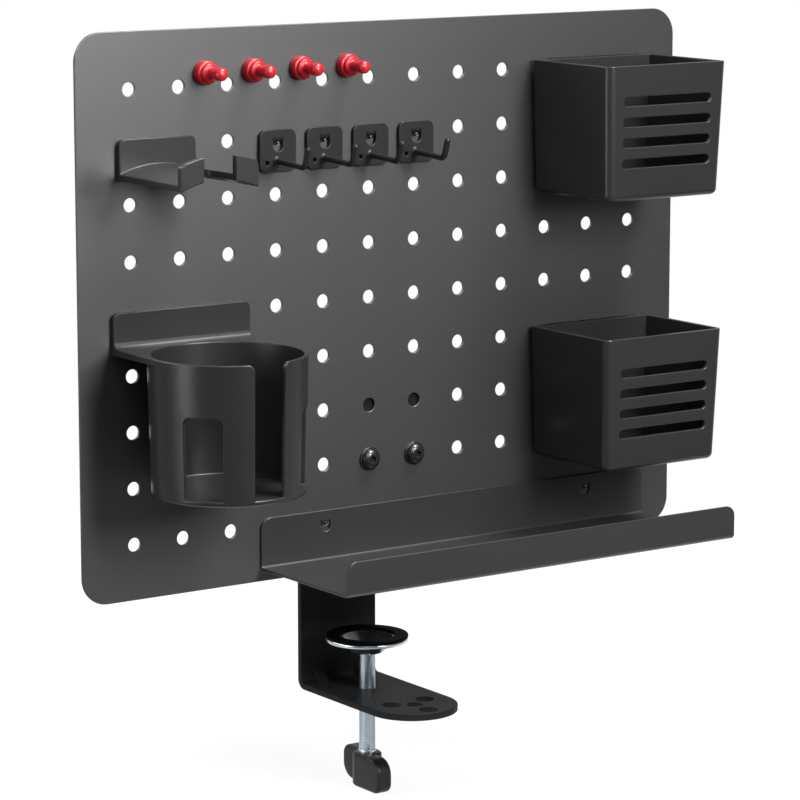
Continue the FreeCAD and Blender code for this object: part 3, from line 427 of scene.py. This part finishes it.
# ---------------------------------------------------------------- the screws that hold the board
# Two M5 button-head screws in black oxide, half a hole's pitch either side of the middle, each
# with a washer in front of the board and a nut behind the strap.
oxide = moulded("black_oxide_steel", "#141414", "#101010", 0.28, 0.6, 0.3 * mm)
HOLE_PITCH = 25.4
BOARD_FRONT, STRAP_BACK = -20.65, -16.15
FIXING_HEIGHT = 55.3
BACK_NUT_FLATS, BACK_NUT_HEIGHT, BACK_NUT_BORE = 8.0, 4.0, 5.0
WASHER = [(2.75, 0, 0), (5.5, 0, 0.2), (5.5, 1.0, 0.25), (2.75, 1.0, 0.15), (2.75, 0, 0)]
for side, across in (("left", -HOLE_PITCH / 2), ("right", HOLE_PITCH / 2)):
    button = cast_from(f"panel_screw_{side}", f"button_screw_{side}")
    ease(button, 0.15 * mm)
    washer = turned(f"flat_washer_{side}", WASHER)
    settle(washer, (across, BOARD_FRONT, FIXING_HEIGHT), (90, 0, 0))
    back_nut = hex_nut(f"back_nut_{side}", BACK_NUT_FLATS, BACK_NUT_HEIGHT, BACK_NUT_BORE)
    settle(back_nut, (across, STRAP_BACK + BACK_NUT_HEIGHT, FIXING_HEIGHT), (90, 0, 0))
    for piece, node, finish, slot in ((button, "panel_screw", oxide, "black_steel"),
                                      (washer, "panel_washer", oxide, "black_steel"),
                                      (back_nut, "panel_nut", zinc, "zinc_steel")):
        piece.data.materials.append(finish)
        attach(piece, "root")
        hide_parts(f"{node}_{side}")

# ---------------------------------------------------------------- the wire hooks
# Pressed steel plates with a lanced tab, and a bent wire welded to each. One grey coat covers both.
fitting_coat = powder_coat("grey_fitting_coat", "#1c1c1d", "#181819", 0.36, 0.22, 0.5 * mm)
HOOK_COLUMNS_FROM_MIDDLE = (-2.5, -1.5, -0.5, 0.5)
WELD_ASIDE, WELD_FACE, WELD_HEIGHT = -0.7, -22.75, 197.6
WELD = [(1.3, -0.05, 0), (2.3, -0.05, 0), (2.15, 0.35, 0.2), (1.75, 0.6, 0.2), (1.3, 1.0, 0)]
for index, column in enumerate(HOOK_COLUMNS_FROM_MIDDLE, start=1):
    plate = cast_from(f"hook_plate_{index}", f"hook_plate_sheet_{index}")
    ease(plate, 0.35 * mm, 2, 40)
    wire = cast_from(f"hook_rod_{index}", f"hook_wire_{index}")
    alone(wire)
    bpy.ops.object.shade_smooth_by_angle(angle=math.radians(40))
    bead = turned("weld_bead", WELD, 32)
    bpy.ops.object.mode_set(mode="EDIT")
    pick(bead, lambda vertex: vertex.co.z > 0.1 * mm)
    bpy.ops.transform.vertex_random(offset=0.06 * mm, seed=index)
    bpy.ops.object.mode_set(mode="OBJECT")
    settle(bead, (column * HOLE_PITCH + WELD_ASIDE, WELD_FACE, WELD_HEIGHT), (90, 0, 0))
    alone(wire)
    bead.select_set(True)
    bpy.ops.object.join()
    for piece, node in ((plate, f"hook_plate_{index}"), (wire, f"hook_rod_{index}")):
        piece.data.materials.append(fitting_coat)
        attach(piece, f"hook_{index}_body")
        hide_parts(node)

# ---------------------------------------------------------------- the magnets
# Push-pin magnets: a glossy red polystyrene grip moulded round a nickel-plated disc.
red = new_finish("glossy_red_polystyrene")
place = add(red, "TexCoord").outputs["Object"]
flow = add(red, "TexNoise", {"Scale": 1 / (4 * mm), "Detail": 2.0}, {"Vector": place})
colour = add(red, "Mix", {"data_type": "RGBA", "A": tint("#900c18"), "B": tint("#9b101d")},
             {"Factor": flow.outputs["Fac"]})
skin = add(red, "BsdfPrincipled", {"IOR": 1.59, "Roughness": 0.33, "Specular IOR Level": 0.35},
           {"Base Color": colour.outputs["Result"]})
add(red, "OutputMaterial", {}, {"Surface": skin.outputs["BSDF"]})
GRIP = [(0, 3.0, 0), (4.25, 3.0, 0), (4.25, 0, 0), (5.35, 0, 0.3), (5.35, 4.2, 0.9), (4.0, 4.2, 0.2),
        (4.0, 4.6, 0.2), (4.3, 4.7, 0.15), (4.3, 6.3, 0.9), (2.3, 6.3, 0.8), (2.3, 10.6, 1.0),
        (3.0, 12.2, 1.0), (3.0, 17.0, 2.3), (0, 17.0, 0)]
DISC = [(0, 0, 0), (4.2, 0, 0.3), (4.2, 3.0, 0.3), (0, 3.0, 0)]
MAGNET_PITCH, FIRST_MAGNET, MAGNET_HEIGHT, MAGNET_GAP = 25.3, -101.2, 238.9, 0.1
for index in range(1, 5):
    grip = turned(f"magnet_grip_{index}", GRIP, 48)
    disc = turned(f"magnet_disc_{index}", DISC, 48)
    across = FIRST_MAGNET + MAGNET_PITCH * (index - 1)
    for piece, node, finish, slot in ((grip, "magnet_knob", red, "pin_red"),
                                      (disc, "magnet_core", zinc, "magnet_metal")):
        settle(piece, (across, BOARD_FRONT - MAGNET_GAP, MAGNET_HEIGHT), (90, 0, 0))
        piece.data.materials.append(finish)
        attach(piece, f"magnet_{index}_body")
        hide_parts(f"{node}_{index}")

# ---------------------------------------------------------------- the moulded accessories
# Headphone hanger, cup holder and pen boxes: charcoal ABS with a fine satin texture.
abs_plastic = moulded("charcoal_abs", "#202021", "#1c1c1d", 0.33, 0.33, 0.5 * mm)
SHELF_UNDER = 116.7 * mm
for node, name, width, spared in (
        ("headphone_hanger", "headphone_saddle", 0.5 * mm, None),
        ("cup_holder", "cup_cradle", 0.5 * mm, lambda spot: abs(spot.z - SHELF_UNDER) < 0.1 * mm),
        ("pen_box_upper", "upper_pen_tub", 0.5 * mm, None),
        ("pen_box_lower", "lower_pen_tub", 0.5 * mm, None)):
    piece = cast_from(node, name)
    ease(piece, width, 3, spared=spared)
    piece.data.materials.append(abs_plastic)
    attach(piece, f"{node}_body")
    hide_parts(node)

# ---------------------------------------------------------------- the tray
# 1.2 mm steel sheet, folded up at the back and the front and open at both ends.
tray_coat = powder_coat("grey_tray_coat", "#242425", "#202021", 0.34, 0.5, 0.5 * mm)
tray = cast_from("tray", "folded_tray")
ease(tray, 0.3 * mm)
tray.data.materials.append(tray_coat)
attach(tray, "tray_body")
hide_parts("tray")

# ---------------------------------------------------------------- the studio
# A small pale floor under the knob, and a sky that is white behind the object and dim in front of it,
# so that the glossy board mirrors little of it. Soft round lamps stand round the object: two keys in
# front, two fills and one lamp on the left, one above and one behind.
scene = bpy.context.scene
scene.view_settings.view_transform = "Standard"


def seen_rays(material):
    """The share of rays that see the backdrop itself: straight on, in a gloss, or through glass."""
    paths = add(material, "LightPath")
    through = add(material, "Math", {"operation": "MAXIMUM"},
                  {0: paths.outputs["Is Glossy Ray"], 1: paths.outputs["Is Transmission Ray"]})
    return add(material, "Math", {"operation": "MAXIMUM"},
               {0: paths.outputs["Is Camera Ray"], 1: through.outputs[0]}).outputs[0]


world = bpy.data.worlds.new("studio")
scene.world = world
world.use_nodes = True
world.node_tree.nodes.clear()
BEHIND = (0.50, 0.75, -0.43)
DIM_SKY, WHITE_SKY = 0.15, 1.0
facing = add(world, "VectorMath", {"operation": "DOT_PRODUCT", 1: BEHIND},
             {0: add(world, "TexCoord").outputs["Generated"]})
strength = add(world, "MapRange", {"interpolation_type": "SMOOTHSTEP", "From Min": 0.3, "From Max": 0.88,
                                   "To Min": DIM_SKY, "To Max": WHITE_SKY},
               {"Value": facing.outputs["Value"]})
sky = add(world, "Background", {"Color": tint("#ffffff")}, {"Strength": strength.outputs["Result"]})
add(world, "OutputWorld", {}, {"Surface": sky.outputs["Background"]})

bpy.ops.object.select_all(action="DESELECT")
FLOOR_RADIUS, FLOOR_MIDDLE = 0.45, (0.14, 0.20, cad_low.z)
bpy.ops.mesh.primitive_circle_add(vertices=96, radius=FLOOR_RADIUS, fill_type="NGON", location=FLOOR_MIDDLE)
floor = bpy.context.object
floor.name = "floor"
pale = new_finish("pale_floor")
cover = add(pale, "BsdfDiffuse", {"Color": tint("#f4f4f4")})
glow = add(pale, "Emission", {"Color": tint("#ffffff"), "Strength": 1.0})
share = add(pale, "Math", {"operation": "MULTIPLY", 1: 0.9}, {0: seen_rays(pale)})
mix = add(pale, "MixShader", {}, {"Fac": share.outputs[0], 1: cover.outputs["BSDF"],
                                  2: glow.outputs["Emission"]})
add(pale, "OutputMaterial", {}, {"Surface": mix.outputs["Shader"]})
floor.data.materials.append(pale)

LAMPS_FROM = Vector((0, -0.05, 0.1))
# Each lamp's name, its bearing from straight in front (to the right is more), height, distance, size, watts.
for name, bearing, height, away, size, watts in (
        ("high_key_lamp", 6, 28, 1.0, 0.25, 8.0),
        ("low_key_lamp", 11, 16, 1.0, 0.25, 4.9),
        ("high_fill_lamp", -35, 45, 1.6, 0.6, 11),
        ("low_fill_lamp", -35, 20, 1.6, 0.6, 2.5),
        ("left_lamp", -95, 4, 1.6, 0.8, 14),
        ("top_lamp", 35, 65, 1.6, 0.6, 60),
        ("back_lamp", -140, 35, 1.6, 0.8, 14)):
    light = bpy.data.lights.new(name, "AREA")
    light.shape = "DISK"
    light.size = size
    light.energy = watts
    holder = bpy.data.objects.new(name, light)
    scene.collection.objects.link(holder)
    sideways, upwards = math.radians(bearing), math.radians(height)
    outwards = Vector((math.sin(sideways) * math.cos(upwards), -math.cos(sideways) * math.cos(upwards),
                       math.sin(upwards)))
    holder.location = LAMPS_FROM + outwards * away
    holder.rotation_mode = "QUATERNION"
    holder.rotation_quaternion = outwards.to_track_quat("Z", "Y")
